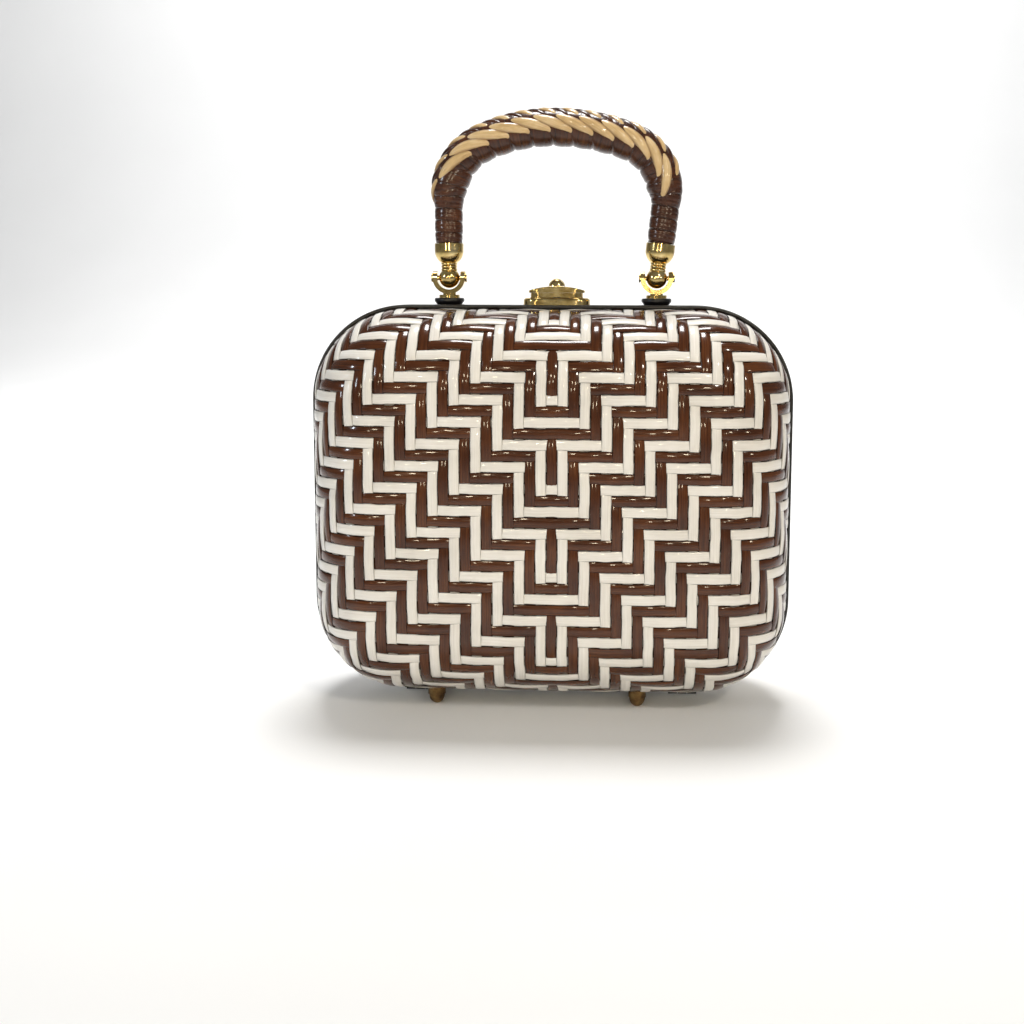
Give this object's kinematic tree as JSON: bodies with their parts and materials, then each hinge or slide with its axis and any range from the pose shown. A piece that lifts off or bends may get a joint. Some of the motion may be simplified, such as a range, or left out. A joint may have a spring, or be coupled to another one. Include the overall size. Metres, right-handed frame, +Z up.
{
  "type": "basket box bag",
  "caption": "Hard rounded box handbag woven in two-colour flat strips on a black clamshell frame, with a gilt turn clasp and a braided swing handle.",
  "frame": {"origin": "centre of the bounding box at the bottom, on the surface the feet stand on", "axes": "+Z up, -Y the front face, the seam between the two halves in the plane Y = 0, +X to the right seen from the front"},
  "size_m": [0.216, 0.0886, 0.2705],
  "materials": {
    "brown_strip": "glossy reddish-brown flat strip",
    "white_strip": "glossy warm ivory flat strip",
    "shell_board": "matt dark moulded board",
    "lining_cloth": "plain woven tan lining",
    "black_frame": "satin black enamel",
    "dark_steel": "dark brushed steel",
    "gilt": "polished gilt, tarnished in the hollows",
    "antique_brass": "darkened brass",
    "black_washer": "satin black moulded plastic",
    "handle_rod": "plain dark core rod",
    "handle_brown_strand": "glossy dark brown flat lacing",
    "handle_cream_strand": "glossy cream-tan flat lacing"
  },
  "bodies": {
    "back_half": {"back_frame": "black_frame", "back_hard_shell": "shell_board", "back_lining": "lining_cloth", "back_weave": "brown_strip", "clasp_base_back": "gilt", "clasp_post": "gilt", "foot_back_left": "antique_brass", "foot_back_right": "antique_brass", "foot_nuts_back": "dark_steel", "hinge_leaf_back_left": "black_frame", "hinge_leaf_back_right": "black_frame", "hinge_pin_left": "dark_steel", "hinge_pin_right": "dark_steel", "hinge_rivets_back": "dark_steel", "lug_left": "gilt", "lug_pin_left": "gilt", "lug_pin_right": "gilt", "lug_right": "gilt", "lug_washer_left": "black_washer", "lug_washer_right": "black_washer"},
    "front_half": {"clasp_base_front": "gilt", "foot_front_left": "antique_brass", "foot_front_right": "antique_brass", "foot_nuts_front": "dark_steel", "front_frame": "black_frame", "front_hard_shell": "shell_board", "front_lining": "lining_cloth", "front_weave": "brown_strip", "hinge_leaf_front_left": "black_frame", "hinge_leaf_front_right": "black_frame", "hinge_rivets_front": "dark_steel"},
    "handle": {"ferrule_left": "gilt", "ferrule_right": "gilt", "handle_core": "handle_rod", "handle_wrap": "handle_brown_strand"},
    "turn_bar": {"clasp_knob": "gilt", "clasp_spindle": "dark_steel", "clasp_turn_bar": "gilt"}
  },
  "joints": [
    {"name": "bag_open", "type": "hinge", "parent": "back_half", "child": "front_half", "pos_m": [0, 0, 0.00345], "axis": [1, 0, 0], "range_deg": [0, 75]},
    {"name": "handle_swing", "type": "hinge", "parent": "back_half", "child": "handle", "pos_m": [0, 0.0072, 0.1936], "axis": [1, 0, 0], "range_deg": [-95, 95]},
    {"name": "clasp_turn", "type": "hinge", "parent": "back_half", "child": "turn_bar", "pos_m": [0.0022, 0, 0.187], "axis": [0, 0, 1], "range_deg": [0, 90]}
  ]
}
